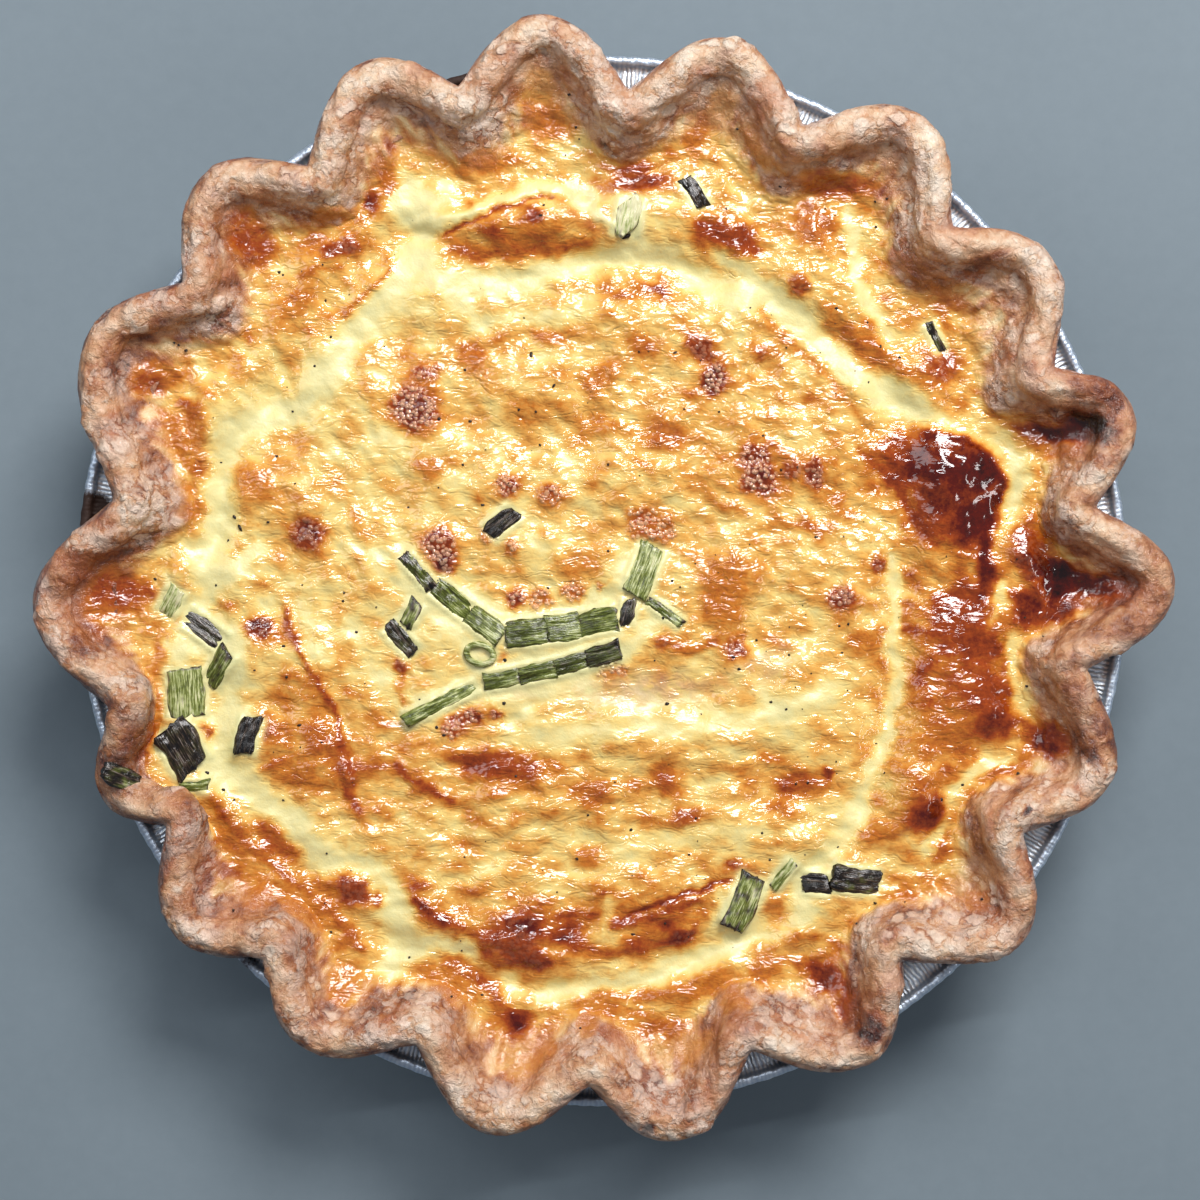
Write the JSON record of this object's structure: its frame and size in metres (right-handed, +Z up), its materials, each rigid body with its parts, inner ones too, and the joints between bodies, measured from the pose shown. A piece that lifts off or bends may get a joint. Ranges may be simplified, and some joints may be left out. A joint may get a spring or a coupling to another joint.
{
  "type": "quiche",
  "caption": "Round baked quiche: deep fluted pastry edge, browned set custard with charred spring onion on top, in its pleated foil tin.",
  "frame": {"origin": "centre of the foil tin's flat base, on the surface it stands on", "axes": "+Z up out of the custard; seen from above, +X is to the right and +Y away from the viewer"},
  "size_m": [0.2651, 0.2609, 0.0434],
  "materials": {
    "foil": "bright pressed foil",
    "pastry": "flaky baked pastry, glazed in places",
    "custard": "oily browned skin",
    "onion_green": "cooked green leaf with lengthwise ribs",
    "onion_charred": "charred and oily",
    "onion_pale": "soft cooked onion white"
  },
  "bodies": {
    "root": {"foil_tin": "foil", "pastry_crust": "pastry", "custard_filling": "custard", "onion_long_a1": "onion_green", "onion_long_a2": "onion_green", "onion_long_a3": "onion_green", "onion_long_b1": "onion_green", "onion_long_b2": "onion_green", "onion_long_b3": "onion_green", "onion_fork_c": "onion_green", "onion_fork_knot": "onion_charred", "onion_fork_tip": "onion_green", "onion_row_f1": "onion_green", "onion_row_f2": "onion_green", "onion_row_f3": "onion_green", "onion_row_f4": "onion_green", "onion_strip_g": "onion_green", "onion_green_m1": "onion_green", "onion_charred_m2": "onion_charred", "onion_sunk_n": "onion_charred", "onion_edge_h1": "onion_green", "onion_edge_h2": "onion_charred", "onion_edge_h3": "onion_green", "onion_edge_h4": "onion_green", "onion_edge_h5": "onion_charred", "onion_edge_h6": "onion_charred", "onion_edge_h7": "onion_green", "onion_charred_i": "onion_charred", "onion_low_j1": "onion_green", "onion_low_j2": "onion_green", "onion_low_j3": "onion_charred", "onion_low_j4": "onion_charred", "onion_charred_k1": "onion_charred", "onion_clear_k2": "onion_pale", "onion_sliver_l": "onion_green", "onion_ring_e": "onion_pale"}
  },
  "joints": []
}
